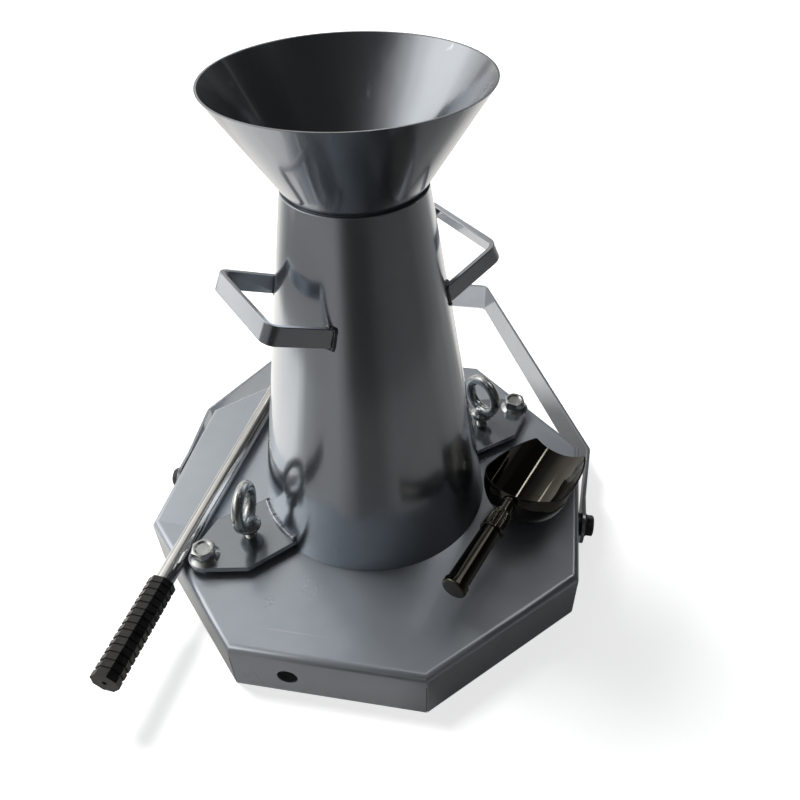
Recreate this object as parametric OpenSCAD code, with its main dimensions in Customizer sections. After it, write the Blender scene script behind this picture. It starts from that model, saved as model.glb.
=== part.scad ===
// Slump cone set: cone with foot plates and handles, lift-off funnel, folded octagonal base tray with a
// swinging carrying bail, tamping rod and scoop. Millimetres, +Z up, the ground at z = 0, the cone's axis on Z.
// The tray's front wall faces -Y.

/* [Cone] */
// Height of the cone
cone_h = 300; // [280:1:320]
// Inner diameter of the cone's foot
cone_foot_d = 200; // [190:1:210]
// Inner diameter of the cone's mouth
cone_mouth_d = 100; // [92:1:108]
// Sheet of the cone
cone_wall = 2; // [1.5:0.1:3]
// Turn of the right foot plate and handle from +X, in degrees
cone_turn = 43; // [40:1:46]

/* [Lifting handles] */
// Distance between the two legs of a handle, middle to middle
handle_span = 86; // [76:1:96]
// Length of a leg from the cone to the middle of the crossbar
handle_reach = 50; // [42:1:58]
// Height of the legs' roots above the tray's floor
handle_z = 215; // [190:1:235]
// Upward tilt of a handle, in degrees
handle_tilt = 25; // [10:1:30]
// Width of the handles' flat bar
handle_bar_w = 15; // [12:0.5:20]
// Thickness of the handles' flat bar
handle_bar_t = 4; // [3:0.25:5]
// Bend of the handles' bar at its middle line
handle_bend_r = 7; // [5:0.5:12]

/* [Foot plates] */
// Thickness of a foot plate
foot_t = 5; // [4:0.25:7]
// Height of a foot plate's underside above the tray's floor
foot_gap = 6; // [5:0.25:8]
// Width of a foot plate where it meets the cone
foot_root_w = 56; // [46:1:64]
// Width of a foot plate at its shoulders
foot_w = 64; // [54:1:72]
// Distance of the shoulders from the eye bolt, outward
foot_shoulder = 17; // [12:1:20]
// Radius of the rounded tip
foot_tip_r = 14; // [13.5:0.1:16]

/* [Locating bolts] */
// Thread diameter
locating_d = 12; // [10:0.5:12]
// Distance of the bolts inside the tray's flats
locating_inset = 22; // [20:1:28]
// Diameter of the head's flange
locating_flange_d = 26; // [24:0.5:27]
// Thickness of the head's flange
locating_flange_t = 3; // [2:0.25:4]
// Hexagon across its flats
locating_af = 18; // [16:0.5:20]
// Height of the hexagon
locating_hex_h = 8; // [6:0.5:10]
// Length of thread that reaches below the tray's floor
locating_reach = 6; // [4:0.5:10]

/* [Eye bolts] */
// Thread diameter
eye_thread_d = 10; // [8:0.5:12]
// Outer diameter of the ring
eye_ring_d = 45; // [40:1:46]
// Diameter of the ring's bar
eye_bar_d = 10; // [8:0.5:12]
// Diameter of the collar under the ring
eye_collar_d = 22; // [18:0.5:26]
// Height of the collar
eye_collar_h = 6; // [4:0.5:8]
// Height of the collar above the foot plate
eye_rise = 10; // [4:0.5:14]
// Distance of the eye bolts outside the cone's foot
eye_offset = 24; // [23:0.5:28]
// Turn of the left ring from the foot's direction, in degrees
left_eye_turn = 49; // [0:1:180]
// Turn of the right ring from the foot's direction, in degrees
right_eye_turn = 95; // [0:1:180]
// Hexagon of the nuts under the tray, across its flats
tray_nut_af = 17; // [15:0.5:19]
// Height of the nuts under the tray
tray_nut_h = 8; // [6:0.5:10]
// Length of thread past the nuts under the tray
eye_thread_end = 2; // [1:0.5:4]

/* [Base tray] */
// Width across the flats
tray_af = 380; // [364:1:400]
// Height
tray_h = 50; // [46:1:56]
// Sheet
tray_t = 2; // [1.5:0.1:3]
// Outer radius of the folded edges
tray_bend_r = 6; // [4:0.5:8]
// Gap between the folded walls at the corners
tray_seam = 1; // [0.5:0.1:2]
// Diameter of the rod hole in the front wall
rod_hole_d = 17; // [16.5:0.1:18]
// Distance of the rod hole from the middle of the front wall
rod_hole_x = 33; // [20:1:50]
// Height of the rod hole above the ground
rod_hole_z = 22; // [18:0.5:26]

/* [Carrying bail] */
// Width of the bail's flat bar
bail_w = 34; // [28:1:38]
// Thickness of the bail's flat bar
bail_t = 3; // [2.5:0.1:4]
// Length of the straight ears at the pivots
bail_ear = 20; // [18:1:26]
// Distance of the arms' bends from the pivot
bail_arm = 86; // [76:1:96]
// Outward spread of each arm from its ear to its bend
bail_spread = 5; // [3:0.5:8]
// Distance of the crossbar from the pivot
bail_reach = 382; // [370:1:390]
// Length of the crossbar
bail_grip_w = 143; // [125:1:155]
// Bend of the bail's bar at its middle line
bail_bend_r = 9; // [6:0.5:14]
// Height of the crossbar above the ground at rest
bail_rest_gap = 0.3; // [0.2:0.1:1]

/* [Pivot bolts] */
// Thread diameter
pivot_d = 10; // [8:0.5:12]
// Height of the pivots above the ground
pivot_z = 25; // [22:0.5:27]
// Hexagon of head and nut, across its flats
pivot_af = 17; // [15:0.5:19]
// Height of the head
pivot_head_h = 6.5; // [5:0.5:8]
// Height of the nut
pivot_nut_h = 8; // [6:0.5:9]
// Length of thread past the nut
pivot_thread_end = 3; // [1:0.5:5]
// Diameter of the washers
washer_d = 21; // [20:0.5:23]
// Thickness of a washer
washer_t = 2; // [1.5:0.1:2.5]

/* [Funnel] */
// Height of the funnel above the cone
funnel_h = 72; // [60:1:85]
// Outer diameter of the funnel's rim
funnel_d = 190; // [175:1:205]
// Sheet of the funnel
funnel_wall = 1.5; // [1.2:0.1:2]
// Length of the spigot inside the cone
spigot_h = 26; // [20:1:35]

/* [Tamping rod] */
// Diameter of the rod
rod_d = 16; // [15:0.25:16.25]
// Length over the rod and its grip
rod_l = 480; // [440:1:490]
// Lean of the rod from the Y direction, in degrees
rod_lean = 4.3; // [3:0.1:6]
// Gap between the rod and the left foot plate
rod_side_gap = 1.2; // [0.8:0.1:3]
// Distance from the left locating bolt to the grip, along the rod
grip_lead = 33; // [28:1:40]
// Length of the grip
grip_l = 90; // [80:1:110]
// Width of the grip over its ribs, across the flats
grip_d = 22; // [20.5:0.5:26]
// Depth of the grooves between the ribs
grip_groove = 1; // [0.6:0.1:1.4]
// Number of grooves
grip_grooves = 13; // [8:1:16]
// Diameter of the air hole in the grip's end
grip_hole_d = 4; // [3:0.5:6]

/* [Scoop] */
// Turn of the scoop from +X, in degrees
scoop_turn = 68; // [66:0.5:69]
// Gap between the scoop's bowl and the cone's foot, so that the cone can be lifted past the bowl
scoop_side_gap = 1.2; // [1:0.1:2]
// Place of the bowl's round back around the cone from +X, in degrees
scoop_place = -5; // [-8:0.5:-4]
// Outer diameter of the bowl
bowl_d = 75; // [70:1:76]
// Length of the bowl
bowl_l = 119; // [112:1:121]
// Sheet of the bowl
bowl_wall = 1.2; // [1:0.1:1.6]
// Height of the rim at the bowl's back
bowl_back_h = 53; // [51:0.5:56]
// Height of the rim at the bowl's mouth
bowl_mouth_h = 10; // [8:0.5:13]
// Height of the neck on the bowl's back
neck_z = 44; // [38:0.5:44]
// Slope of the stick, down from level, in degrees
stick_drop = 3; // [0:0.5:6]
// Diameter of the neck
neck_d = 13; // [11:0.5:14]
// Length of the neck
neck_l = 11; // [9:0.5:14]
// Diameter of the ferrule at the neck
ferrule_neck_d = 16; // [15:0.5:18]
// Diameter of the ferrule at the handle
ferrule_d = 20; // [19:0.5:21]
// Length of the ferrule
ferrule_l = 22; // [18:1:26]
// Diameter of the handle tube at the ferrule
tube_ferrule_d = 17; // [16:0.5:18.5]
// Diameter of the handle tube at its end
tube_end_d = 18.5; // [17:0.5:19]
// Length of the handle tube
tube_l = 57; // [50:1:64]
// Diameter of the end cap
cap_d = 21; // [20:0.5:22]
// Length of the end cap
cap_l = 6; // [4:0.5:8]

/* [Hidden] */
// How far cuts run past the faces they open
overrun = 1;
// Radial play of a turning shank in its bore
run_fit = 0.05;
// Radial play of a shank in a plain hole
hole_play = 0.5;
// Gap that a weld fills, between welded sheets
weld_gap = 0.2;
// Gap between the funnel and the cone's mouth edge
seat_gap = 0.3;
// Gap under round pieces that lie on the tray's floor
rest_gap = 0.3;
// Chamfer of hexagon heads
hex_chamfer = 1;
// Radius of the edge rounding on the scoop's end cap
soft_edge = 2;
// Wall at the grip's closed end
grip_end_wall = 3;
// Reach of a foot plate's straight edges into its rounded tip
touch_share = 0.97;
// Width of a groove as a share of the groove pitch
groove_share = 0.35;
// Height of an eye bolt's shoulder as a share of the room between collar and eye
eye_shoulder_share = 0.7;
// Turn of one step in a bend of a flat bar, in degrees
bend_step = 12;
// Fineness of the round solids
$fn = 96;

// Octagon: number of flats and the angle from a flat's middle to a corner
tray_flats = 8;
corner_turn = 180 / tray_flats;

// Cone
cone_foot_r = cone_foot_d / 2 + cone_wall;
cone_mouth_r = cone_mouth_d / 2 + cone_wall;
cone_top_z = tray_h + cone_h;
function cone_r(z) = cone_foot_r + (cone_mouth_r - cone_foot_r) * z / cone_h;

// Places of the foot plates' bolts, outward from the cone's axis
eye_r = cone_foot_r + eye_offset;
locating_r = tray_af / 2 - locating_inset;
plate_top = foot_gap + foot_t;

// Bail: the arms lie outside the tray's walls, a pair of washers between
bail_x = tray_af / 2 + 2 * washer_t + bail_t / 2;
bail_rest_turn = asin((bail_rest_gap + bail_w / 2 - pivot_z) / bail_reach);

// Rod: beside the left foot plate's tip
left_turn = cone_turn + 180;
rod_dir_turn = 90 - rod_lean;
rod_offset = foot_tip_r + rod_d / 2 + rod_side_gap;
rod_start = [locating_r * cos(left_turn) - rod_offset * cos(rod_lean),
             locating_r * sin(left_turn) + rod_offset * sin(rod_lean)];
rod_z = tray_h + rod_d / 2 + rest_gap;
groove_pitch = grip_l / (grip_grooves + 1);
// Sides of the grip and the angle from a side's middle to a corner
grip_flats = 8;
grip_corner_turn = 180 / grip_flats;

// Scoop: the middle of the bowl's round back lies beside the cone
bowl_r = bowl_d / 2;
scoop_r = cone_r(0) + bowl_r + scoop_side_gap;
stick_l = neck_l + ferrule_l + tube_l + cap_l;
neck_back = bowl_r - sqrt(pow(bowl_r, 2) - pow(bowl_r - neck_z, 2));
rim_slope = atan2(bowl_back_h - bowl_mouth_h, bowl_l);

painted = [0.55, 0.57, 0.60];
zinc = [0.72, 0.73, 0.72];
chrome = [0.80, 0.80, 0.80];
rubber = [0.08, 0.08, 0.08];

// A flat bar's outline: the path's left or right side at an offset, with arcs at its corners
function unit(v) = v / norm(v);
function left_of(v) = [-v[1], v[0]];
function turned(v, a) = [v[0] * cos(a) - v[1] * sin(a), v[0] * sin(a) + v[1] * cos(a)];
function corner_angle(a, b) = atan2(a[0] * b[1] - a[1] * b[0], a * b);
function corner_arc(before, at, after, r, o) =
    let (d = unit(at - before), e = unit(after - at), turn = corner_angle(d, e), s = sign(turn))
    let (centre = at - d * r * tan(abs(turn) / 2) + left_of(d) * s * r, steps = ceil(abs(turn) / bend_step))
    [for (i = [0 : steps]) let (n = turned(left_of(d), turn * i / steps)) centre - n * (s * r - o)];
function bar_side(path, r, o) =
    let (last = len(path) - 1)
    concat([path[0] + left_of(unit(path[1] - path[0])) * o],
           [for (i = [1 : last - 1]) each corner_arc(path[i - 1], path[i], path[i + 1], r, o)],
           [path[last] + left_of(unit(path[last] - path[last - 1])) * o]);
function reversed(list) = [for (i = [len(list) - 1 : -1 : 0]) list[i]];

module flat_bar(path, t, r) {
    polygon(concat(bar_side(path, r, t / 2), reversed(bar_side(path, r, -t / 2))));
}

// A hexagon prism with its top corners turned off
module hex_head(af, h) {
    corner_r = af / 2 / cos(30);
    intersection() {
        cylinder(r = corner_r, h = h, $fn = 6);
        rotate_extrude()
            polygon([[0, 0], [corner_r, 0], [corner_r, h - hex_chamfer],
                     [corner_r - 2 * hex_chamfer, h], [0, h]]);
    }
}

module hex_nut(af, h, bore_d) {
    difference() {
        hex_head(af, h);
        translate([0, 0, -overrun])
            cylinder(d = bore_d, h = h + 2 * overrun);
    }
}

module washer(bore_d) {
    difference() {
        cylinder(d = washer_d, h = washer_t);
        translate([0, 0, -overrun])
            cylinder(d = bore_d, h = washer_t + 2 * overrun);
    }
}

// On the tray's floor, with +X along the right or left foot plate
module on_right_foot() {
    translate([0, 0, tray_h])
        rotate(cone_turn)
            children();
}

module on_left_foot() {
    translate([0, 0, tray_h])
        rotate(left_turn)
            children();
}

module on_both_feet() {
    on_right_foot()
        children();
    on_left_foot()
        children();
}

// At both pivots, with +Z pointing outward along the bolt and z = 0 at a distance from the middle
module on_both_pivots(x) {
    for (side = [0, 180])
        rotate(side)
            translate([x, 0, pivot_z])
                rotate([0, 90, 0])
                    children();
}

// The cone's outer form, grown by a gap, for the cuts of what is welded to it
module cone_cut() {
    translate([0, 0, -overrun])
        cylinder(r1 = cone_r(-overrun) + weld_gap, r2 = cone_r(cone_h) + weld_gap, h = cone_h + overrun);
}

// An octagonal block with rounded top edges
module folded_block(half, top, r) {
    intersection_for (i = [0 : tray_flats / 2 - 1])
        rotate(i * 2 * corner_turn)
            rotate([90, 0, 0])
                linear_extrude(4 * half, center = true)
                    folded_profile(half, top, r);
}

module folded_profile(half, top, r) {
    right_foot = [half, -overrun];
    left_foot = [-half, -overrun];
    right_top = [half, top];
    left_top = [-half, top];
    polygon(concat([left_foot, right_foot],
                   corner_arc(right_foot, right_top, left_top, r, 0),
                   corner_arc(right_top, left_top, left_foot, r, 0)));
}

module base_tray() {
    half = tray_af / 2;
    corner = half / cos(corner_turn);
    color(painted)
        difference() {
            folded_block(half, tray_h, tray_bend_r);
            folded_block(half - tray_t, tray_h - tray_t, tray_bend_r - tray_t);
            // The folded walls end at the ground
            translate([-corner, -corner, -2 * overrun])
                cube([2 * corner, 2 * corner, 2 * overrun]);
            // Open seams between neighbouring walls
            for (i = [0 : tray_flats - 1])
                rotate(corner_turn + i * 2 * corner_turn)
                    translate([corner - 4 * tray_t, -tray_seam / 2, -overrun])
                        cube([4 * tray_t + overrun, tray_seam, tray_h - 2 * tray_bend_r + overrun]);
            on_both_feet() {
                translate([eye_r, 0, -tray_t - overrun])
                    cylinder(d = eye_thread_d + 2 * hole_play, h = tray_t + 2 * overrun);
                translate([locating_r, 0, -tray_t - overrun])
                    cylinder(d = locating_d + 2 * hole_play, h = tray_t + 2 * overrun);
            }
            on_both_pivots(half - tray_t - overrun)
                cylinder(d = pivot_d + 2 * run_fit, h = tray_t + 2 * overrun);
            translate([-rod_hole_x, tray_t + overrun - half, rod_hole_z])
                rotate([90, 0, 0])
                    cylinder(d = rod_hole_d, h = tray_t + 2 * overrun);
        }
}

module tray_nuts() {
    color(zinc)
        on_both_feet()
            translate([eye_r, 0, -tray_t])
                rotate([180, 0, 0])
                    hex_nut(tray_nut_af, tray_nut_h, eye_thread_d + 2 * run_fit);
}

// The pivot bolts run inward: head, washer, bail, two washers, tray wall, washer and nut
module pivot_bolts() {
    grip = washer_t + bail_t + 2 * washer_t + tray_t + washer_t + pivot_nut_h + pivot_thread_end;
    color(zinc)
        on_both_pivots(bail_x + bail_t / 2 + washer_t) {
            hex_head(pivot_af, pivot_head_h);
            translate([0, 0, -grip])
                cylinder(d = pivot_d, h = grip);
        }
}

module pivot_nuts() {
    color(zinc)
        on_both_pivots(tray_af / 2 - tray_t - washer_t)
            rotate([180, 0, 0])
                hex_nut(pivot_af, pivot_nut_h, pivot_d + 2 * run_fit);
}

module nut_washers() {
    color(zinc)
        on_both_pivots(tray_af / 2 - tray_t - washer_t)
            washer(pivot_d + 2 * run_fit);
}

module spacer_washers() {
    color(zinc) {
        on_both_pivots(tray_af / 2)
            washer(pivot_d + 2 * run_fit);
        on_both_pivots(tray_af / 2 + washer_t)
            washer(pivot_d + 2 * run_fit);
    }
}

module head_washers() {
    color(zinc)
        on_both_pivots(bail_x + bail_t / 2)
            washer(pivot_d + 2 * run_fit);
}

// One flat bar on edge: two ears, two arms that spread, two slanted stretches and the crossbar
module carry_bail() {
    bend_x = bail_x + bail_spread;
    right_half = [[bail_x, 0], [bail_x, bail_ear], [bend_x, bail_arm], [bail_grip_w / 2, bail_reach]];
    left_half = [for (point = reversed(right_half)) [-point[0], point[1]]];
    color(painted)
        translate([0, 0, pivot_z])
            rotate([bail_rest_turn, 0, 0])
                difference() {
                    union() {
                        translate([0, 0, -bail_w / 2])
                            linear_extrude(bail_w)
                                flat_bar(concat(right_half, left_half), bail_t, bail_bend_r);
                        for (side = [-1, 1])
                            translate([side * bail_x - bail_t / 2, 0, 0])
                                rotate([0, 90, 0])
                                    cylinder(d = bail_w, h = bail_t);
                    }
                    for (side = [-1, 1])
                        translate([side * bail_x - bail_t / 2 - overrun, 0, 0])
                            rotate([0, 90, 0])
                                cylinder(d = pivot_d + 2 * run_fit, h = bail_t + 2 * overrun);
                }
}

module cone_shell() {
    color(painted)
        translate([0, 0, tray_h])
            rotate_extrude()
                polygon([[cone_foot_r - cone_wall, 0], [cone_foot_r, 0],
                         [cone_mouth_r, cone_h], [cone_mouth_r - cone_wall, cone_h]]);
}

// A flat bar bent to a U, its legs cut to the cone
module lifting_handle() {
    root = sqrt(pow(cone_r(handle_z), 2) - pow(handle_span / 2, 2));
    leg_start = handle_reach - cone_foot_r;
    side = handle_span / 2;
    path = [[leg_start, -side], [handle_reach, -side], [handle_reach, side], [leg_start, side]];
    difference() {
        translate([root, 0, handle_z])
            rotate([0, -handle_tilt, 0])
                translate([0, 0, -handle_bar_w / 2])
                    linear_extrude(handle_bar_w)
                        flat_bar(path, handle_bar_t, handle_bend_r);
        cone_cut();
        // The part of the legs beyond the axis
        translate([-2 * cone_foot_r, -cone_foot_r, 0])
            cube([2 * cone_foot_r, 2 * cone_foot_r, cone_h + cone_foot_r]);
    }
}

module left_handle() {
    color(painted)
        on_left_foot()
            lifting_handle();
}

module right_handle() {
    color(painted)
        on_right_foot()
            lifting_handle();
}

// A plate with straight shoulders and a rounded tip, cut to the cone
module foot_plate() {
    shoulder = [eye_r + foot_shoulder, foot_w / 2];
    to_shoulder = shoulder - [locating_r, 0];
    touch_turn = atan2(to_shoulder[1], to_shoulder[0]) - acos(foot_tip_r / norm(to_shoulder));
    touch_r = foot_tip_r * touch_share;
    touch = [locating_r + touch_r * cos(touch_turn), touch_r * sin(touch_turn)];
    root = [cone_r(plate_top) - foot_root_w / 2, foot_root_w / 2];
    flip = [[1, 0], [0, -1]];
    difference() {
        translate([0, 0, foot_gap])
            union() {
                linear_extrude(foot_t)
                    polygon([root, shoulder, touch, flip * touch, flip * shoulder, flip * root]);
                translate([locating_r, 0, 0])
                    cylinder(r = foot_tip_r, h = foot_t);
            }
        cone_cut();
        translate([eye_r, 0, 0])
            cylinder(d = eye_thread_d + 2 * hole_play, h = plate_top + overrun);
        translate([locating_r, 0, 0])
            cylinder(d = locating_d + 2 * run_fit, h = plate_top + overrun);
    }
}

module left_foot_plate() {
    color(painted)
        on_left_foot()
            foot_plate();
}

module right_foot_plate() {
    color(painted)
        on_right_foot()
            foot_plate();
}

// Flange bolts through the plates' tips, their ends in the tray's floor
module locating_bolts() {
    color(zinc)
        on_both_feet()
            translate([locating_r, 0, plate_top]) {
                cylinder(d1 = locating_flange_d, d2 = locating_af, h = locating_flange_t);
                translate([0, 0, locating_flange_t])
                    hex_head(locating_af, locating_hex_h);
                translate([0, 0, -plate_top - locating_reach])
                    cylinder(d = locating_d, h = plate_top + locating_reach);
            }
}

module locating_nuts() {
    color(zinc)
        on_both_feet()
            translate([locating_r, 0, 0])
                hex_nut(locating_af, foot_gap, locating_d + 2 * run_fit);
}

// A ring on a collar and a threaded shank that reaches through the plate into the nut under the tray
module eye_bolt(turn) {
    collar_z = plate_top + eye_rise;
    ring_r = (eye_ring_d - eye_bar_d) / 2;
    shoulder_h = (eye_bar_d - eye_collar_h / 2) * eye_shoulder_share;
    shank_end = tray_t + tray_nut_h + eye_thread_end;
    translate([eye_r, 0, 0])
        rotate(turn) {
            translate([0, 0, collar_z + eye_collar_h / 2 + eye_ring_d / 2])
                rotate([90, 0, 0])
                    rotate_extrude()
                        translate([ring_r, 0])
                            circle(d = eye_bar_d);
            translate([0, 0, collar_z])
                cylinder(d = eye_collar_d, h = eye_collar_h);
            // The shoulder on which the ring stands
            translate([0, 0, collar_z + eye_collar_h])
                cylinder(d1 = eye_collar_d, d2 = eye_bar_d, h = shoulder_h);
            translate([0, 0, -shank_end])
                cylinder(d = eye_thread_d, h = shank_end + collar_z);
        }
}

module left_eye_bolt() {
    color(zinc)
        on_left_foot()
            eye_bolt(left_eye_turn);
}

module right_eye_bolt() {
    color(zinc)
        on_right_foot()
            eye_bolt(right_eye_turn);
}

// The hopper flares from just inside the cone's mouth edge
module funnel_hopper() {
    foot_r = cone_mouth_d / 2 - seat_gap;
    rim_r = funnel_d / 2;
    flat_wall = funnel_wall / cos(atan2(rim_r - foot_r, funnel_h));
    color(painted)
        translate([0, 0, cone_top_z])
            rotate_extrude()
                polygon([[foot_r - flat_wall, 0], [foot_r, 0], [rim_r, funnel_h], [rim_r - flat_wall, funnel_h]]);
}

module funnel_spigot() {
    outer_r = cone_mouth_d / 2 - 2 * seat_gap;
    color(painted)
        translate([0, 0, cone_top_z - spigot_h])
            difference() {
                cylinder(r = outer_r, h = spigot_h);
                translate([0, 0, -overrun])
                    cylinder(r = outer_r - funnel_wall, h = spigot_h + 2 * overrun);
            }
}

// Along the rod: +Z runs from the grip to the rounded tip, z = 0 beside the left locating bolt
module along_rod() {
    translate([rod_start[0], rod_start[1], rod_z])
        rotate([0, 0, rod_dir_turn])
            rotate([0, 90, 0])
                children();
}

module tamping_rod() {
    start = grip_end_wall - grip_lead - grip_l;
    tip = rod_l - grip_lead - grip_l - rod_d / 2;
    color(chrome)
        along_rod() {
            translate([0, 0, start])
                cylinder(d = rod_d, h = tip - start);
            translate([0, 0, tip])
                sphere(d = rod_d);
        }
}

// A ribbed eight-sided sleeve with a closed end
module rod_grip() {
    groove_w = groove_pitch * groove_share;
    rib_r = grip_d / 2 / cos(grip_corner_turn);
    core_r = rib_r - grip_groove;
    color(rubber)
        along_rod()
            translate([0, 0, -grip_lead - grip_l])
                difference() {
                    rotate(grip_corner_turn)
                        union() {
                            cylinder(r = core_r, h = grip_l, $fn = grip_flats);
                            for (i = [0 : grip_grooves]) {
                                rib_from = i == 0 ? 0 : i * groove_pitch + groove_w / 2;
                                rib_to = i == grip_grooves ? grip_l : (i + 1) * groove_pitch - groove_w / 2;
                                translate([0, 0, rib_from])
                                    cylinder(r = rib_r, h = rib_to - rib_from, $fn = grip_flats);
                            }
                        }
                    translate([0, 0, grip_end_wall])
                        cylinder(d = rod_d + 2 * run_fit, h = grip_l);
                    translate([0, 0, -overrun])
                        cylinder(d = grip_hole_d, h = grip_end_wall + 2 * overrun);
                }
}

// On the tray's floor beside the cone, with +X along the scoop to its mouth and x = 0 at the bowl's back
module along_scoop() {
    translate([scoop_r * cos(scoop_place), scoop_r * sin(scoop_place), tray_h + rest_gap])
        rotate(scoop_turn)
            translate([-bowl_r, 0, 0])
                children();
}

// Along the stick: +Z runs from the bowl's back down to the end cap
module along_stick() {
    along_scoop()
        translate([neck_back, 0, neck_z])
            rotate([0, -90 - stick_drop, 0])
                children();
}

module bowl_form(r) {
    translate([bowl_r, 0, bowl_r])
        rotate([0, 90, 0]) {
            sphere(r);
            cylinder(r = r, h = bowl_l - bowl_r);
        }
}

// A round-backed trough with a rim that slopes down to the mouth
module scoop_bowl() {
    color(chrome)
        along_scoop()
            difference() {
                bowl_form(bowl_r);
                bowl_form(bowl_r - bowl_wall);
                // The mouth's open end
                translate([bowl_l - bowl_r, 0, bowl_r])
                    rotate([0, 90, 0])
                        cylinder(r = bowl_r - bowl_wall, h = bowl_d);
                translate([0, -bowl_d, bowl_back_h])
                    rotate([0, rim_slope, 0])
                        translate([-bowl_d, 0, 0])
                            cube([bowl_l + 2 * bowl_d, 2 * bowl_d, bowl_d]);
            }
}

module scoop_neck() {
    color(chrome)
        difference() {
            along_stick()
                translate([0, 0, -neck_d])
                    cylinder(d = neck_d, h = neck_l + neck_d);
            along_scoop()
                translate([bowl_r, 0, bowl_r])
                    sphere(bowl_r + weld_gap);
        }
}

module scoop_ferrule() {
    color(chrome)
        along_stick()
            translate([0, 0, neck_l])
                cylinder(d1 = ferrule_neck_d, d2 = ferrule_d, h = ferrule_l);
}

module scoop_handle() {
    color(chrome)
        along_stick()
            translate([0, 0, neck_l + ferrule_l])
                cylinder(d1 = tube_ferrule_d, d2 = tube_end_d, h = tube_l);
}

module scoop_end_cap() {
    color(chrome)
        along_stick()
            translate([0, 0, stick_l - cap_l])
                rotate_extrude()
                    union() {
                        square([cap_d / 2, cap_l - soft_edge]);
                        square([cap_d / 2 - soft_edge, cap_l]);
                        translate([cap_d / 2 - soft_edge, cap_l - soft_edge])
                            intersection() {
                                circle(soft_edge);
                                square(soft_edge);
                            }
                    }
}

base_tray();
tray_nuts();
pivot_bolts();
pivot_nuts();
nut_washers();
spacer_washers();
head_washers();
carry_bail();
cone_shell();
left_handle();
right_handle();
left_foot_plate();
right_foot_plate();
locating_bolts();
locating_nuts();
left_eye_bolt();
right_eye_bolt();
funnel_hopper();
funnel_spigot();
tamping_rod();
rod_grip();
scoop_bowl();
scoop_neck();
scoop_ferrule();
scoop_handle();
scoop_end_cap();
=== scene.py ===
import math
import random

import bmesh
import bpy
from mathutils import Matrix, Vector


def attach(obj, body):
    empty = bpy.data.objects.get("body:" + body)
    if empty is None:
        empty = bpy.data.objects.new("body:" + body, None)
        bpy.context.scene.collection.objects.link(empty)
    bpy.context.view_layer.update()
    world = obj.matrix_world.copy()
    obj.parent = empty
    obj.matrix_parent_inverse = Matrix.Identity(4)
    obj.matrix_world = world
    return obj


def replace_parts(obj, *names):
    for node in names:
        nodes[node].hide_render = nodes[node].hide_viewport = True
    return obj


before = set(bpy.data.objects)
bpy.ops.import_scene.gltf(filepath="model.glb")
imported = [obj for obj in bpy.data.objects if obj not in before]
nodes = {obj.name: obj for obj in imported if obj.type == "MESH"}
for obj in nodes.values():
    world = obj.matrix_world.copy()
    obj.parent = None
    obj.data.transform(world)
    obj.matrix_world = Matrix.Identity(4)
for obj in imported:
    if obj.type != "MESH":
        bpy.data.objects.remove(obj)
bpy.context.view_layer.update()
bpy.context.scene.view_settings.view_transform = "Standard"

MM = 0.001

# Sizes of the solids that the pieces below are fitted to, in millimetres
FLOOR_TOP = 50.0
TRAY_HALF = 190.0
CONE_FOOT_R, CONE_TAPER = 102.0, 1 / 6
# turns are in degrees, from +X towards +Y
FOOT_TURN = {"right": 43.0, "left": 223.0}
PLATE_TOP = 11.0
PLATE_ROOT_HALF = 28.0
HANDLE_ROOT = Vector((50.3, 0, 215.0))
HANDLE_TILT, HANDLE_HALF_SPAN = math.radians(25), 43.0
HANDLE_BAR_W, HANDLE_BAR_T = 15.0, 4.0
EYE_R, EYE_COLLAR_Z = 126.0, 71.0
EYE_TURN = {"right": 95.0, "left": 49.0}
SCOOP_R, SCOOP_PLACE, SCOOP_TURN = 140.7, math.radians(-5), math.radians(68)
BOWL_R, NECK_Z, REST_GAP, STICK_DROP = 37.5, 44.0, 0.3, math.radians(3)
# how far the ball of the bowl's back falls short of its end, at the neck's height
NECK_BACK = BOWL_R - math.sqrt(BOWL_R ** 2 - (BOWL_R - NECK_Z) ** 2)

# Points of a solid that are nearer than this are one point, in millimetres
SAME_POINT = 0.01
# Faces that differ by less are one face, and edges that turn more are broken, in degrees
SAME_FACE, BROKEN_EDGE = 0.4, 32.0

# Weld beads, in millimetres: how thick they are and how far apart their drops
PLATE_BEAD, LEG_BEAD, NECK_BEAD = (2.3, 2.6), (1.7, 2.4), (0.9, 1.6)
PLATE_BEAD_LIFT = 0.9
LEG_BEAD_OUT, LEG_BEAD_ROUND = 0.5, 0.3

# Where nearly all values of a noise lie
MIDDLE = (0.3, 0.7)

BLACK_LIGHT, WHITE_LIGHT = (0, 0, 0, 1), (1, 1, 1, 1)


# ---------------------------------------------------------------- finishes

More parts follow.
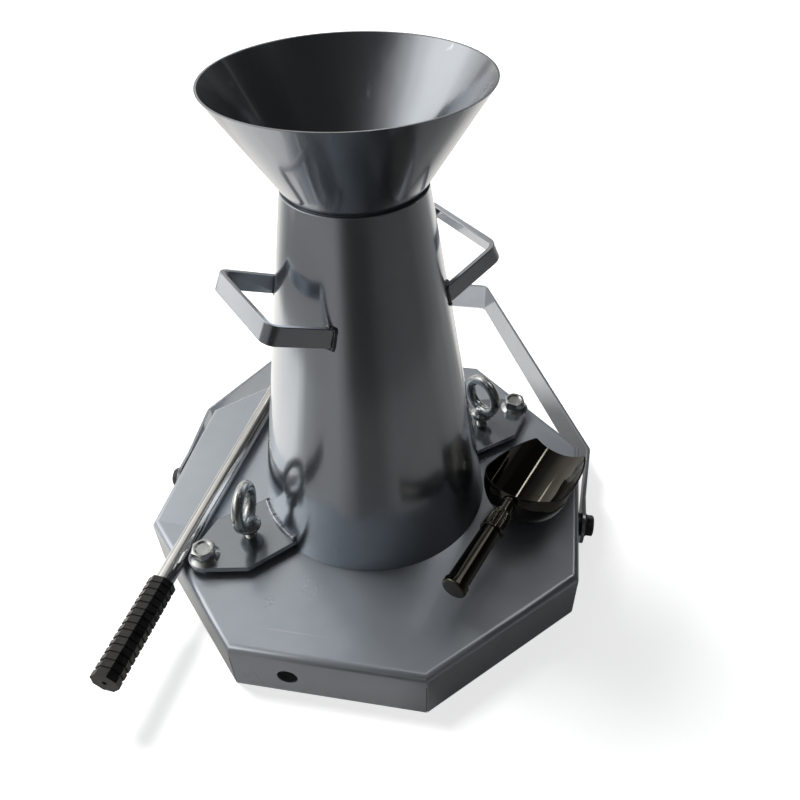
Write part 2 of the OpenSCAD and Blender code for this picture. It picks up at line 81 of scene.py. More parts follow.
class Shade:
    """A socket of a material. Sums of them add Math nodes, and node() adds any other kind."""

    def __init__(self, tree, socket=None):
        self.tree = tree
        self.socket = socket

    def node(self, kind, settings=None, sockets=None, out=0):
        """Adds a node of a kind, and takes one of its outputs on."""
        made = self.tree.nodes.new("ShaderNode" + kind)
        for name, value in (settings or {}).items():
            if name == "stops":
                stops = made.color_ramp.elements
                while len(stops) < len(value):
                    stops.new(1.0)
                for stop, (place, colour) in zip(stops, value):
                    stop.position = place
                    stop.color = colour
            else:
                setattr(made, name, value)
        for name, value in (sockets or {}).items():
            if isinstance(value, Shade):
                self.tree.links.new(value.socket, made.inputs[name])
            else:
                made.inputs[name].default_value = value
        return Shade(self.tree, made.outputs[out])

    def _sum(self, operation, first, second):
        return self.node("Math", {"operation": operation}, {0: first, 1: second})

    def reckon(self, operation, other=0.0):
        """Any other sum of this value, by the name of its kind."""
        return self._sum(operation, self, other)

    def __add__(self, other):
        return self._sum("ADD", self, other)

    def __mul__(self, other):
        return self._sum("MULTIPLY", self, other)

    def between(self, low, high, from_low=0.0, from_high=1.0):
        """This value's range mapped to another one, held at its ends."""
        return self.node("MapRange", {"clamp": True}, {0: self, 1: from_low, 2: from_high, 3: low, 4: high})

    def tint(self, low, high):
        """A colour between two, by this value."""
        return self.node("Mix", {"data_type": "RGBA"}, {0: self, 6: low, 7: high}, out=2)

    def place(self, scale=(1, 1, 1)):
        """The piece's own coordinates in metres, stretched along its axes."""
        here = self.node("TexCoord", out="Object")
        return here if scale == (1, 1, 1) else self.node("Mapping", {}, {"Vector": here, "Scale": scale})

    def grain(self, scale, detail=2.0, rough=0.5, stretch=(1, 1, 1)):
        """A cloudy noise in the piece's own coordinates."""
        return self.node("TexNoise", {}, {"Vector": self.place(stretch), "Scale": scale, "Detail": detail,
                                          "Roughness": rough})

    def bump(self, height, strength, distance):
        """Unevenness from a height, for a shader's Normal."""
        return self.node("Bump", {}, {"Height": height, "Strength": strength, "Distance": distance})


def finish(name, **constant):
    """A new material with the values that are the same all over.

    Given back are a start for its nodes, and what feeds their results to its shader."""
    made = bpy.data.materials.new(name)
    made.use_nodes = True
    shader = made.node_tree.nodes["Principled BSDF"]
    for key, value in constant.items():
        shader.inputs[key.replace("_", " ")].default_value = value
    start = Shade(made.node_tree)

    def feed(**varying):
        for key, value in varying.items():
            made.node_tree.links.new(value.socket, shader.inputs[key.replace("_", " ")])
        return made

    return start, feed


def rgb(red, green, blue):
    """A colour given as it shows on a screen, 0 to 255."""
    def linear(v):
        v /= 255
        return v / 12.92 if v <= 0.04045 else ((v + 0.055) / 1.055) ** 2.4
    return (linear(red), linear(green), linear(blue), 1.0)


def darker(colour, share):
    """A share of a colour's light."""
    return tuple(v * share for v in colour[:3]) + (1.0,)


def grey_enamel(name, streak=(1, 1, 1), scratches=0.0, dark=1.0, waves=3.0, specks=0.0, metal=0.93,
                satin=0.19, coat=1.0):
    """Glossy silver-grey paint on sheet: a fine flake under a clear skin, with long unevenness.

    streak squeezes its clouds along the axes, dark is the share of its colour that is left, and waves is
    the height of its unevenness. metal, satin and coat are its metal and roughness in the middle of their
    range, and the weight of the clear skin."""
    start, feed = finish(name, Coat_Weight=coat, Coat_Roughness=0.03, Coat_IOR=1.5)
    cloud = start.grain(14.0, 3.0, 0.55, streak)
    flake = start.grain(2600.0, 1.0)
    mix = cloud.between(0.0, 1.0, *MIDDLE) * 0.8 + flake * 0.2
    colour = mix.tint(darker(rgb(162, 169, 178), dark), darker(rgb(180, 187, 195), dark))
    height = start.grain(420.0, 1.0) * 0.10 + start.grain(26.0, 2.0, 0.5, streak) * waves
    # dust under the skin
    nib = start.node("TexVoronoi", {}, {"Vector": start.place(), "Scale": 55.0})
    height = height + nib.between(1.0, 0.0, 0.0, 0.035) * 0.6
    rough = cloud.between(satin - 0.04, satin + 0.04, *MIDDLE)
    if scratches:
        # two sets of long thin scratches, across each other
        line = start.node("TexNoise", {}, {"Vector": start.place((5.0, 260.0, 5.0)), "Scale": 1.0,
                                           "Detail": 4.0})
        cross = start.node("TexNoise", {}, {"Vector": start.place((240.0, 9.0, 5.0)), "Scale": 1.0,
                                            "Detail": 4.0})
        worn = line.between(0.0, 1.0, 0.70, 0.78) + cross.between(0.0, 1.0, 0.71, 0.79)
        worn = worn * scratches
        colour = worn.tint(colour, rgb(196, 199, 202))
        rough = rough + worn * 0.15
    if specks:
        # pale runs and chips in the paint
        run = start.grain(46.0, 3.0, 0.6, (1.0, 1.0, 0.35)).between(0.0, specks, 0.665, 0.70)
        colour = run.tint(colour, rgb(208, 210, 211))
        rough = rough + run * 0.2
    return feed(Base_Color=colour, Roughness=rough,
                Metallic=cloud.between(metal - 0.03, metal + 0.03, *MIDDLE),
                Normal=start.bump(height, 0.12, 0.0006))


def bright_zinc(name):
    """Zinc plate: bright, a little milky, with faint paler and darker patches."""
    start, feed = finish(name)
    patch = start.grain(90.0, 3.0, 0.6)
    fine = start.grain(900.0, 2.0)
    colour = patch.between(0.0, 1.0, *MIDDLE).tint(rgb(172, 180, 184), rgb(202, 204, 202))
    return feed(Base_Color=colour, Metallic=patch.between(0.96, 1.0),
                Roughness=patch.between(0.14, 0.30, *MIDDLE),
                Normal=start.bump(patch * 0.8 + fine * 0.25, 0.25, 0.0005))


def black_oxide(name):
    """Blackened steel of the pivot bolts, rubbed bright in places."""
    start, feed = finish(name)
    patch = start.grain(160.0, 3.0, 0.6)
    colour = patch.between(0.0, 1.0, 0.35, 0.75).tint(rgb(44, 44, 46), rgb(96, 96, 97))
    return feed(Base_Color=colour, Metallic=patch.between(0.85, 1.0),
                Roughness=patch.between(0.24, 0.42, *MIDDLE),
                Normal=start.bump(start.grain(700.0, 2.0), 0.15, 0.0004))


def bright_chrome(name):
    """Chrome on the rod: a mirror with hair-fine wear along it."""
    start, feed = finish(name, IOR=2.5)
    hair = start.grain(1.0, 3.0, 0.6, (900.0, 30.0, 900.0))
    blot = start.grain(70.0, 2.0)
    colour = blot.tint(rgb(206, 207, 208), rgb(228, 228, 226))
    return feed(Base_Color=colour, Metallic=blot.between(0.98, 1.0),
                Roughness=hair.between(0.03, 0.12, 0.4, 0.7),
                Normal=start.bump(hair, 0.05, 0.0003))


def mirror_steel(name):
    """Polished steel of the scoop, with faint drawing lines along it."""
    start, feed = finish(name)
    here = start.node("Mapping", {}, {"Vector": start.place(), "Rotation": (0, 0, -SCOOP_TURN)})
    drawn = start.node("Mapping", {}, {"Vector": here, "Scale": (6.0, 420.0, 420.0)})
    lines = start.node("TexNoise", {}, {"Vector": drawn, "Scale": 1.0, "Detail": 3.0})
    blot = start.grain(60.0, 2.0)
    colour = blot.tint(rgb(70, 68, 62), rgb(88, 86, 80))
    return feed(Base_Color=colour, Metallic=blot.between(0.98, 1.0),
                Roughness=lines.between(0.03, 0.09, 0.35, 0.7),
                Normal=start.bump(lines, 0.06, 0.0004))


def black_rubber(name):
    """Satin rubber of the grip, with a fine moulded grain and paler rubbed ribs."""
    start, feed = finish(name, Specular_IOR_Level=0.6)
    grain = start.grain(1500.0, 3.0, 0.6)
    rub = start.grain(120.0, 3.0)
    colour = rub.between(0.0, 1.0, 0.4, 0.75).tint(rgb(8, 8, 9), rgb(20, 20, 21))
    return feed(Base_Color=colour, Roughness=rub.between(0.24, 0.40, *MIDDLE),
                Normal=start.bump(grain, 0.18, 0.0004))


# clouds that are long from top to bottom, as on rolled sheet that was painted standing
UPRIGHT = (1.0, 1.0, 0.22)
PAINT_SHEET = grey_enamel("enamel_on_tray", scratches=0.5, dark=0.93, metal=0.76, satin=0.30, coat=0.6)
PAINT_CONE = grey_enamel("enamel_on_cone", streak=UPRIGHT)
PAINT_FUNNEL = grey_enamel("enamel_on_funnel", streak=UPRIGHT, dark=0.6, waves=7.0, specks=0.3, coat=0.5)
PAINT_BAR = grey_enamel("enamel_on_bars", dark=0.9)
PAINT_PLATE = grey_enamel("enamel_on_plates", dark=0.72)
PAINT_WELD = grey_enamel("enamel_on_welds", dark=0.8)
BURNT_WELD = grey_enamel("burnt_weld", dark=0.22)
ZINC = bright_zinc("bright_zinc")
BLACK = black_oxide("black_oxide")
CHROME = bright_chrome("bright_chrome")
MIRROR = mirror_steel("mirror_steel")
RUBBER = black_rubber("black_rubber")


# ---------------------------------------------------------------- making pieces

def new_piece(name, mesh, material, body):
    """Puts a finished mesh into the scene on the body that carries it."""
    piece = bpy.data.objects.new(name, mesh)
    bpy.context.scene.collection.objects.link(piece)
    mesh.materials.clear()
    mesh.materials.append(material)
    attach(piece, body)
    return piece


def smooth(mesh, angle=35.0):
    """Rounds the shading, except over edges sharper than an angle."""
    for face in mesh.polygons:
        face.use_smooth = True
    mesh.set_sharp_from_angle(angle=math.radians(angle))


def softened(node, name, material, body, width, dish=None):
    """The node's own solid with its edges broken to a width, as cut and painted metal has them.

    A dish, given as its rim and its depth, is pressed into the middle of each topmost face."""
    work = bmesh.new()
    work.from_mesh(nodes[node].data)
    bmesh.ops.remove_doubles(work, verts=work.verts, dist=SAME_POINT * MM)
    bmesh.ops.dissolve_limit(work, angle_limit=math.radians(SAME_FACE), verts=work.verts, edges=work.edges)
    if dish:
        rim, depth = dish
        top = max(vert.co.z for vert in work.verts) - SAME_POINT * MM
        faces = [face for face in work.faces if all(vert.co.z > top for vert in face.verts)]
        bmesh.ops.inset_individual(work, faces=faces, thickness=rim * MM, use_even_offset=True)
        bmesh.ops.inset_individual(work, faces=faces, thickness=depth * MM, depth=-depth * MM,
                                   use_even_offset=True)
    mesh = bpy.data.meshes.new(name)
    work.to_mesh(mesh)
    work.free()
    smooth(mesh)
    piece = new_piece(name, mesh, material, body)
    edge = piece.modifiers.new("broken_edges", "BEVEL")
    edge.width = width * MM
    edge.segments = 2
    edge.limit_method = "ANGLE"
    edge.angle_limit = math.radians(BROKEN_EDGE)
    edge.harden_normals = True
    edge.use_clamp_overlap = True
    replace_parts(piece, node)


def skin(rings, closed_rings=True, closed_path=False, caps=True):
    """A mesh from rings of points, each ring joined to the next."""
    work = bmesh.new()
    rows = [[work.verts.new(point) for point in ring] for ring in rings]
    count = len(rows[0])
    pairs = list(zip(rows, rows[1:])) + ([(rows[-1], rows[0])] if closed_path else [])
    for low, high in pairs:
        for i in range(count if closed_rings else count - 1):
            j = (i + 1) % count
            work.faces.new((low[i], low[j], high[j], high[i]))
    if caps and not closed_path:
        work.faces.new(list(reversed(rows[0])))
        work.faces.new(rows[-1])
    bmesh.ops.recalc_face_normals(work, faces=work.faces)
    mesh = bpy.data.meshes.new("skin")
    work.to_mesh(mesh)
    work.free()
    return mesh


def around(r, z, sides):
    """A ring of points round the Z axis."""
    turns = (2 * math.pi * k / sides for k in range(sides))
    return [Vector((r * math.cos(t), r * math.sin(t), z)) for t in turns]


def bead(path, radius, pitch, seed, closed=False):
    """A weld bead along a path: overlapping drops, a little uneven. All sizes in millimetres."""
    # shares of the radius: between drops, what a drop adds, chance in the radius and the place, and the ends
    valley, crest, uneven, stray, tail = 0.80, 0.20, 0.16, 0.18, 0.55
    sides = 10
    rng = random.Random(seed)
    # the path in steps of a quarter of a drop
    fine = []
    count = len(path)
    for i in range(count if closed else count - 1):
        a, b = path[i], path[(i + 1) % count]
        steps = max(1, int((b - a).length / (pitch / 4)))
        fine += [a.lerp(b, k / steps) for k in range(steps)]
    if not closed:
        fine.append(path[-1])
    rings, run = [], 0.0
    side = None
    for i, point in enumerate(fine):
        ahead = fine[(i + 1) % len(fine)] if closed or i + 1 < len(fine) else point
        behind = fine[i - 1] if closed or i else point
        along = (ahead - behind).normalized()
        if side is None:
            side = along.orthogonal().normalized()
        side = (side - along * side.dot(along)).normalized()
        up = along.cross(side)
        run += (point - behind).length
        drop = abs(math.sin(math.pi * run / pitch))
        fat = radius * (valley + crest * drop) * (1 + uneven * (rng.random() - 0.5))
        if not closed and i in (0, len(fine) - 1):
            fat *= tail
        wander = Vector((rng.random() - 0.5, rng.random() - 0.5, rng.random() - 0.5)) * radius * stray
        rings.append([(point + wander + (side * math.cos(t) + up * math.sin(t)) * fat) * MM
                      for t in (2 * math.pi * k / sides for k in range(sides))])
    mesh = skin(rings, closed_path=closed)
    smooth(mesh, 60)
    return mesh


def on_foot(side, point):
    """A point of one side of the cone, put into the part's frame, in millimetres.

    It is given with its X along the middle of that side's foot plate, and its Z from the tray's floor."""
    return Matrix.Rotation(math.radians(FOOT_TURN[side]), 3, "Z") @ point + Vector((0, 0, FLOOR_TOP))


def cone_r(height):
    """The cone's outer radius at a height above the tray's floor."""
    return CONE_FOOT_R - height * CONE_TAPER


# ---------------------------------------------------------------- tray and bail

softened("base_tray", "tray_sheet", PAINT_SHEET, "base", 0.35)
softened("carry_bail", "bail_bar", PAINT_BAR, "bail", 0.5)
softened("pivot_bolts", "pivot_bolt_heads", BLACK, "base", 0.35)
for node in ("pivot_nuts", "nut_washers", "spacer_washers", "head_washers"):
    softened(node, node + "_edged", BLACK, "base", 0.25)
softened("tray_nuts", "tray_nuts_edged", ZINC, "base", 0.3)


# ---------------------------------------------------------------- cone

softened("cone_shell", "cone_sheet", PAINT_CONE, "cone", 0.4)
softened("locating_bolts", "locating_bolts_edged", ZINC, "cone", 0.45, dish=(1.2, 1.5))
softened("locating_nuts", "locating_nuts_edged", ZINC, "cone", 0.3)


def plate_bead_path(side):
    """The line along a foot plate's root, in the corner between plate and cone."""
    steps = 24
    half = math.asin(PLATE_ROOT_HALF / cone_r(PLATE_TOP))
    z = PLATE_TOP + PLATE_BEAD_LIFT
    r = cone_r(z) + PLATE_BEAD_LIFT
    turns = [-half + 2 * half * i / steps for i in range(steps + 1)]
    return [on_foot(side, Vector((r * math.cos(turn), r * math.sin(turn), z))) for turn in turns]


def leg_bead_path(side, leg):
    """The line round the end of a handle's leg, where the bar comes out of the cone's skin."""
    steps = 5
    out = Vector((math.cos(HANDLE_TILT), 0, math.sin(HANDLE_TILT)))
    across = Vector((-math.sin(HANDLE_TILT), 0, math.cos(HANDLE_TILT)))
    w, t = HANDLE_BAR_W / 2 + LEG_BEAD_ROUND, HANDLE_BAR_T / 2 + LEG_BEAD_ROUND
    corners = [(-t, -w), (t, -w), (t, w), (-t, w)]
    path = []
    for (t0, w0), (t1, w1) in zip(corners, corners[1:] + corners[:1]):
        for k in range(steps):
            v, h = t0 + (t1 - t0) * k / steps, w0 + (w1 - w0) * k / steps
            # the place along the bar is found by halving
            low, high = -40.0, 60.0
            for _ in range(40):
                u = (low + high) / 2
                point = HANDLE_ROOT + out * u + across * h + Vector((0, leg * HANDLE_HALF_SPAN + v, 0))
                if math.hypot(point.x, point.y) < cone_r(point.z):
                    low = u
                else:
                    high = u
            path.append(on_foot(side, point + out * LEG_BEAD_OUT))
    return path


for side, plate_seed, leg_seed in (("left", 11, 25), ("right", 12, 20)):
    softened(side + "_handle", side + "_handle_bar", PAINT_BAR, "cone", 0.7)
    softened(side + "_foot_plate", side + "_plate", PAINT_PLATE, "cone", 0.6)
    new_piece(side + "_plate_weld", bead(plate_bead_path(side), *PLATE_BEAD, plate_seed), PAINT_WELD,
              "cone")
    for leg, letter in ((-1, "a"), (1, "b")):
        new_piece("%s_handle_weld_%s" % (side, letter),
                  bead(leg_bead_path(side, leg), *LEG_BEAD, leg_seed + leg, closed=True), BURNT_WELD,
                  "cone")


# ---------------------------------------------------------------- eye bolts

def forged_eye(name):
    """A ring that swells into the collar below it, as one forged lump. The collar's foot is at Z = 0."""
    ring_r, bar_r, centre, swell, flat = 17.5, 5.0, 25.5, 0.10, 0.96
    ring_steps, bar_sides, collar_sides = 96, 24, 64
    torus = []
    for i in range(ring_steps):
        a = 2 * math.pi * i / ring_steps
        # the bar is fattest where it runs into the collar
        fat = bar_r * (1 + swell * max(0.0, -math.sin(a)) ** 2)
        torus.append([Vector((((ring_r + fat * math.cos(t)) * math.cos(a)), fat * math.sin(t) * flat,
                              centre + (ring_r + fat * math.cos(t)) * math.sin(a)))
                      for t in (2 * math.pi * k / bar_sides for k in range(bar_sides))])
    # the collar's radius and height: its top ends inside the ring's bar, and leaves the eye open
    collar = [(9.2, 0.0), (10.6, 0.7), (11.0, 1.8), (11.0, 3.9), (10.4, 5.0), (8.6, 6.4), (7.0, 8.6),
              (5.4, 11.0)]
    lump = bmesh.new()
    lump.from_mesh(skin(torus, closed_path=True))
    lump.from_mesh(skin([around(r, z, collar_sides) for r, z in collar]))
    mesh = bpy.data.meshes.new(name)
    lump.to_mesh(mesh)
    lump.free()
    work = bpy.data.objects.new(name, mesh)
    bpy.context.scene.collection.objects.link(work)
    fuse = work.modifiers.new("forged", "REMESH")
    fuse.mode = "VOXEL"
    fuse.voxel_size = 0.55
    blend = work.modifiers.new("blended", "SMOOTH")
    blend.factor = 0.5
    blend.iterations = 8
    forged = bpy.data.meshes.new_from_object(work.evaluated_get(bpy.context.evaluated_depsgraph_get()))
    bpy.data.objects.remove(work)
    return forged


def threaded_shank():
    """The shank below the collar, with its thread: a wave that climbs one pitch in each turn."""
    pitch, crest, root, low, high, sides = 1.5, 4.98, 4.15, -33.0, 0.6, 32
    rows = []
    steps = int((high - low) / (pitch / 8))
    for i in range(steps + 1):
        z = low + (high - low) * i / steps
        row = []
        for k in range(sides):
            wave = abs(((z / pitch - k / sides) % 1.0) * 2 - 1)
            # crests and roots are cut flat
            r = root + (crest - root) * min(1.0, max(0.0, wave * 1.3 - 0.15))
            t = 2 * math.pi * k / sides
            row.append(Vector((r * math.cos(t), r * math.sin(t), z)))
        rows.append(row)
    return skin(rows)


def eye_bolt(side):
    """A forged eye on its threaded shank, which goes through a foot plate."""
    whole = bmesh.new()
    whole.from_mesh(forged_eye(side + "_eye_lump"))
    whole.from_mesh(threaded_shank())
    turn = math.radians(FOOT_TURN[side] + EYE_TURN[side])
    seat = on_foot(side, Vector((EYE_R, 0, EYE_COLLAR_Z - FLOOR_TOP)))
    seated = Matrix.Scale(MM, 4) @ Matrix.Translation(seat) @ Matrix.Rotation(turn, 4, "Z")
    bmesh.ops.transform(whole, matrix=seated, verts=whole.verts)
    mesh = bpy.data.meshes.new(side + "_eye")
    whole.to_mesh(mesh)
    whole.free()
    smooth(mesh, 50)
    piece = new_piece(side + "_eye_forged", mesh, ZINC, side + "_eye")
    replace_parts(piece, side + "_eye_bolt")


eye_bolt("left")
eye_bolt("right")


# ---------------------------------------------------------------- funnel, rod and scoop

softened("funnel_hopper", "hopper_sheet", PAINT_FUNNEL, "funnel", 0.4)
softened("funnel_spigot", "spigot_sheet", PAINT_CONE, "funnel", 0.3)
softened("rod_grip", "grip_sleeve", RUBBER, "rod", 0.4)
nodes["tamping_rod"].data.materials.clear()
nodes["tamping_rod"].data.materials.append(CHROME)
softened("scoop_bowl", "bowl_sheet", MIRROR, "scoop", 0.35)
for node in ("scoop_neck", "scoop_handle", "scoop_end_cap"):
    softened(node, node + "_turned", MIRROR, "scoop", 0.4)


def on_stick(turn, r, along):
    """A point on the scoop's stick: its turn and radius, and its way from the bowl's back, in millimetres."""
    bowl = Matrix.Translation((SCOOP_R * math.cos(SCOOP_PLACE), SCOOP_R * math.sin(SCOOP_PLACE),
                               FLOOR_TOP + REST_GAP))
    stick = (bowl @ Matrix.Rotation(SCOOP_TURN, 4, "Z") @ Matrix.Translation((NECK_BACK - BOWL_R, 0, NECK_Z))
             @ Matrix.Rotation(-math.pi / 2 - STICK_DROP, 4, "Y"))
    return stick @ Vector((r * math.cos(turn), r * math.sin(turn), along))


def knurled_ferrule():
    """The ferrule between neck and tube: long ridges round it, between two plain rims."""
    ridges, per_ridge, deep = 30, 6, 0.55
    # place along the stick, radius, and how much of the ridges is there
    profile = [(11.0, 7.4, 0.0), (11.4, 8.0, 0.0), (12.8, 8.1, 0.0), (13.3, 8.2, 1.0), (18.0, 8.7, 1.0),
               (24.0, 9.2, 1.0), (30.6, 9.7, 1.0), (31.1, 9.8, 0.0), (32.6, 10.0, 0.0), (33.0, 9.5, 0.0)]
    count = ridges * per_ridge
    rings = []
    for along, r, share in profile:
        ring = []
        for k in range(count):
            groove = deep * share * (0.5 - 0.5 * math.cos(2 * math.pi * k / per_ridge))
            ring.append(on_stick(2 * math.pi * k / count, r - groove, along) * MM)
        rings.append(ring)
    mesh = skin(rings)
    smooth(mesh, 30)
    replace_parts(new_piece("scoop_ferrule_knurled", mesh, MIRROR, "scoop"), "scoop_ferrule")


def neck_bead_path():
    """The line round the neck's foot, on the bowl's back."""
    sides, r, along = 36, 6.6, 0.6
    return [on_stick(2 * math.pi * k / sides, r, along) for k in range(sides)]


knurled_ferrule()
new_piece("scoop_neck_weld", bead(neck_bead_path(), *NECK_BEAD, 41, closed=True), MIRROR,
          "scoop")


# ---------------------------------------------------------------- camera, light and floor

# The camera as it was fitted to the cone's rims and the tray's corners
CAMERA_AT = (0.12185, -0.47701, 0.57626)
CAMERA_RIGHT, CAMERA_UP = (0.9843, 0.1747, -0.0239), (-0.0963, 0.6467, 0.7566)
CAMERA_LENS, CAMERA_SENSOR = 34.08, 36.0

camera_data = bpy.data.cameras.new("view")
camera_data.lens = CAMERA_LENS
camera_data.sensor_width = CAMERA_SENSOR
camera_data.clip_start = 0.01
camera = bpy.data.objects.new("view", camera_data)
bpy.context.scene.collection.objects.link(camera)
right, up = Vector(CAMERA_RIGHT).normalized(), Vector(CAMERA_UP).normalized()
back = right.cross(up).normalized()
camera.matrix_world = Matrix.Translation(CAMERA_AT) @ Matrix((right, up, back)).transposed().to_4x4()
bpy.context.scene.camera = camera


def lamp(name, at, towards, width, height, watts):
    """A soft lamp, which gloss doesn't mirror."""
    data = bpy.data.lights.new(name, "AREA")
    data.shape = "RECTANGLE"
    data.size, data.size_y = width, height
    data.energy = watts
    made = bpy.data.objects.new(name, data)
    bpy.context.scene.collection.objects.link(made)
    made.location = at
    made.rotation_euler = (Vector(towards) - Vector(at)).to_track_quat("-Z", "Y").to_euler()
    made.visible_glossy = False


lamp("high_window", (-0.85, 0.40, 1.95), (0, 0, 0.15), 0.60, 0.60, 60.0)
lamp("soft_rear", (-0.4, 1.9, 1.3), (0, 0, 0.2), 1.2, 0.8, 7.0)


def seen_or_mirrored(start):
    """1 for a ray from the camera or one that gloss or glass sends on, and 0 for light that falls on things."""
    seen = start.node("LightPath", out="Is Camera Ray")
    mirrored = start.node("LightPath", out="Is Glossy Ray")
    passed = start.node("LightPath", out="Is Transmission Ray")
    return (seen + mirrored + passed).between(0.0, 1.0)


# White where it is seen, and dim and a little blue as a light
world = bpy.data.worlds.new("studio")
bpy.context.scene.world = world
world.use_nodes = True
sky = Shade(world.node_tree)
for name, value in (("Color", seen_or_mirrored(sky).tint((0.94, 0.97, 1.0, 1), WHITE_LIGHT)),
                    ("Strength", seen_or_mirrored(sky).between(0.15, 1.0))):
    world.node_tree.links.new(value.socket, world.node_tree.nodes["Background"].inputs[name])

# The floor, in metres: its half width, how far it lies below the part, and where it gets whiter further out
FLOOR_HALF, FLOOR_DROP = 6.0, 0.0002
FLOOR_WHITENS = (0.6, 1.4)

ground = bmesh.new()
bmesh.ops.create_grid(ground, x_segments=8, y_segments=8, size=FLOOR_HALF)
ground_mesh = bpy.data.meshes.new("floor")
ground.to_mesh(ground_mesh)
ground.free()
floor = bpy.data.objects.new("floor", ground_mesh)
floor.location.z = -FLOOR_DROP
bpy.context.scene.collection.objects.link(floor)
start, feed = finish("pale_floor", Roughness=0.9, Specular_IOR_Level=0.2, Emission_Strength=1.0)
# how far out a place is, in lines of eight sides like the tray's
aside = start.node("SeparateXYZ", {}, {0: start.place()}, out="X").reckon("ABSOLUTE")
ahead = start.node("SeparateXYZ", {}, {0: start.place()}, out="Y").reckon("ABSOLUTE")
reach = aside.reckon("MAXIMUM", ahead).reckon("MAXIMUM", (aside + ahead) * math.sqrt(0.5))
# under the tray the floor stays dark
clear = reach.between(0.0, 1.0, (TRAY_HALF - 1.5) * MM, TRAY_HALF * MM)
# far off, where the lamps hardly reach, it is as white as the sky
clear = clear * reach.between(0.72, 1.0, *FLOOR_WHITENS)
glow = (seen_or_mirrored(start) * clear).tint(BLACK_LIGHT, WHITE_LIGHT)
ground_mesh.materials.append(feed(Base_Color=start.grain(3.0).tint(rgb(186, 186, 186), rgb(190, 190, 190)),
                                  Emission_Color=glow))


# The room that the set stands in, in metres: its dome, slits a little inside that, rings on the ground and
# their lift above the floor, and where the ground's near shades give way to the far ones
ROOM_R, SLIT_R = 2.6, 2.5
FOOT_FROM, FOOT_TO, GROUND_MIDDLE, GROUND_TO = 0.186, 0.235, 0.55, 1.4
GROUND_LIFT = 0.0005
GROUND_FADE = (0.57, 0.65)
# turns of a whole screen's points round the set, in degrees
WHOLE_TURN = [7.5 * i for i in range(49)]


def on_dome(radius, heights):
    """Radius and height of places on a dome, by their heights in degrees."""
    return [(radius * math.cos(math.radians(e)), radius * math.sin(math.radians(e))) for e in heights]


def arc(first, last):
    return on_dome(ROOM_R, range(first, last + 1, 4))


def on_ground(*radii):
    return [(r, GROUND_LIFT) for r in radii]


def warm_grey(level):
    return (level, level * 0.97, level * 0.93, 1)


def room_screen(name, profile, near, far=None, turns=WHOLE_TURN):
    """A screen round the set, which only the gloss of the paint and metal sees: a part of the room.

    Its shade changes with the turn round the set, in degrees from +X, and with far also further out."""
    turns = [math.radians(t) for t in turns]
    rows = [[Vector((r * math.cos(t), r * math.sin(t), z)) for t in turns] for r, z in profile]
    mesh = skin(rows, closed_rings=False, caps=False)
    screen = bpy.data.objects.new(name, mesh)
    bpy.context.scene.collection.objects.link(screen)
    start, feed = finish(name, Base_Color=BLACK_LIGHT, Roughness=1.0, Specular_IOR_Level=0.0,
                         Emission_Strength=1.0)
    here = start.node("SeparateXYZ", {}, {0: start.place()}, out="X")
    there = start.node("SeparateXYZ", {}, {0: start.place()}, out="Y")
    # both turned about, so that the share runs from 0 at +X once round to 1 without a break
    turn = start.node("Math", {"operation": "ARCTAN2"}, {0: there * -1.0, 1: here * -1.0})
    share = turn.between(0.0, 1.0, -math.pi, math.pi)

    def by_turn(levels):
        stops = [(t / 360, warm_grey(level)) for t, level in levels]
        return share.node("ValToRGB", {"stops": stops}, {0: share})

    shade = by_turn(near)
    if far:
        out = start.node("VectorMath", {"operation": "LENGTH"}, {0: start.place()}, out="Value")
        shade = out.between(0.0, 1.0, *GROUND_FADE).tint(shade, by_turn(far))
    mesh.materials.append(feed(Emission_Color=shade))
    for ray in ("camera", "diffuse", "shadow", "transmission", "volume_scatter"):
        setattr(screen, "visible_" + ray, False)


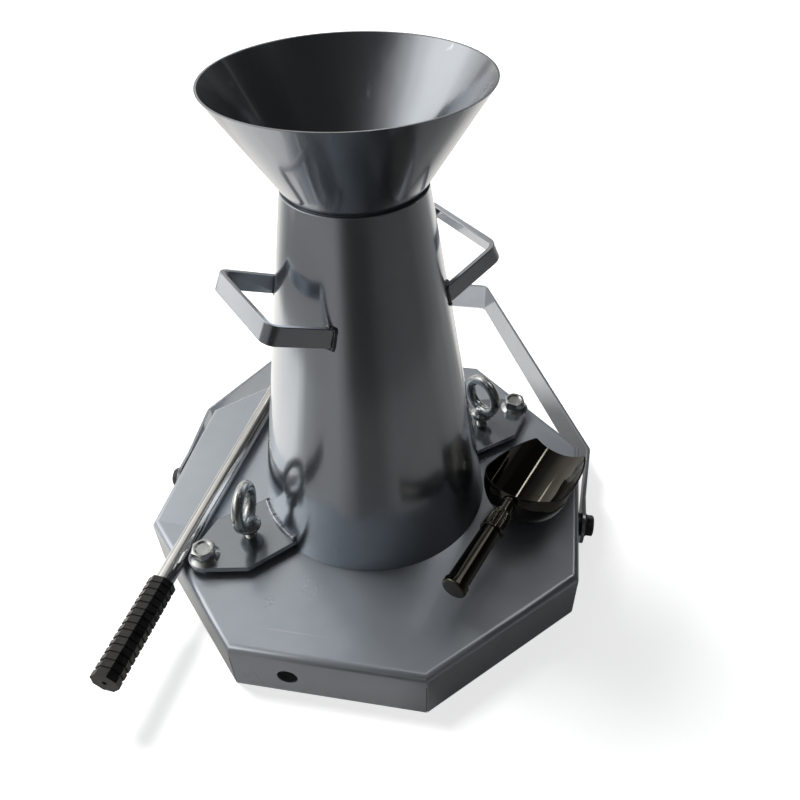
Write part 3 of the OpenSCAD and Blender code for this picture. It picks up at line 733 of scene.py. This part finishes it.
# Shades by the turn round the set, in degrees from its right: mostly bright on its left and dark in front
overhead = [(0, 0.03), (6, 1.0), (56, 1.0), (64, 0.06), (78, 0.12), (90, 0.26), (103, 0.46), (114, 0.74),
            (126, 0.74), (150, 0.30), (190, 0.10), (206, 0.40), (226, 0.35), (240, 0.05), (330, 0.02)]
raised = [(0, 0.02), (42, 0.02), (44, 0.30), (46, 0.02), (78, 0.14), (90, 0.34), (103, 0.62), (114, 0.74),
          (126, 0.68), (146, 1.2), (165, 2.4), (192, 2.4), (207, 1.8), (228, 0.76), (250, 0.26), (272, 0.09),
          (300, 0.03)]
level_out = [(0, 0.05), (60, 0.03), (94, 0.10), (112, 0.9), (126, 0.9), (134, 0.5), (146, 0.5), (152, 0.95),
             (184, 0.95), (192, 0.30), (250, 0.25), (268, 0.04), (330, 0.04)]
ground_foot = [(0, 0.10), (50, 0.30), (62, 0.9), (205, 0.7), (232, 0.36), (284, 0.28), (298, 0.06),
               (340, 0.06)]
ground_near = [(0, 0.17), (27, 0.22), (50, 0.32), (62, 0.9), (120, 1.0), (150, 1.2), (203, 1.2), (214, 0.50),
               (228, 0.36), (252, 0.34), (262, 0.20), (272, 0.08), (292, 0.08), (304, 0.14), (335, 0.15)]
ground_far = [(0, 0.10), (20, 0.16), (50, 0.32), (62, 0.9), (140, 0.9), (160, 0.45), (172, 0.28), (183, 0.31),
              (252, 0.34), (264, 0.08), (272, 0.03), (292, 0.03), (306, 0.07), (330, 0.09)]
ground_out = [(0, 0.10), (20, 0.16), (50, 0.32), (62, 0.9), (150, 1.4), (180, 1.5), (188, 0.36), (252, 0.34),
              (264, 0.08), (272, 0.03), (292, 0.03), (306, 0.07), (330, 0.09)]

room_screen("room_overhead", arc(52, 88), overhead)
room_screen("room_windows", arc(20, 52), raised)
room_screen("room_walls", arc(0, 20), level_out)
# two bright slits, whose streaks run along the scoop's bowl: first and last turn, heights and shade
for name, turns, heights, level in (("slit_right", (43.4, 45.6), (41, 52), 10.0),
                                    ("slit_rear", (101.0, 103.5), (33, 47), 4.0)):
    room_screen(name, on_dome(SLIT_R, heights), [(0, level), (360, level)], turns=turns)
room_screen("room_foot", on_ground(FOOT_FROM, FOOT_TO), ground_foot)
room_screen("room_ground", on_ground(FOOT_TO, GROUND_MIDDLE, GROUND_TO), ground_near, ground_far)
room_screen("room_ground_out", on_ground(GROUND_TO, ROOM_R), ground_out)
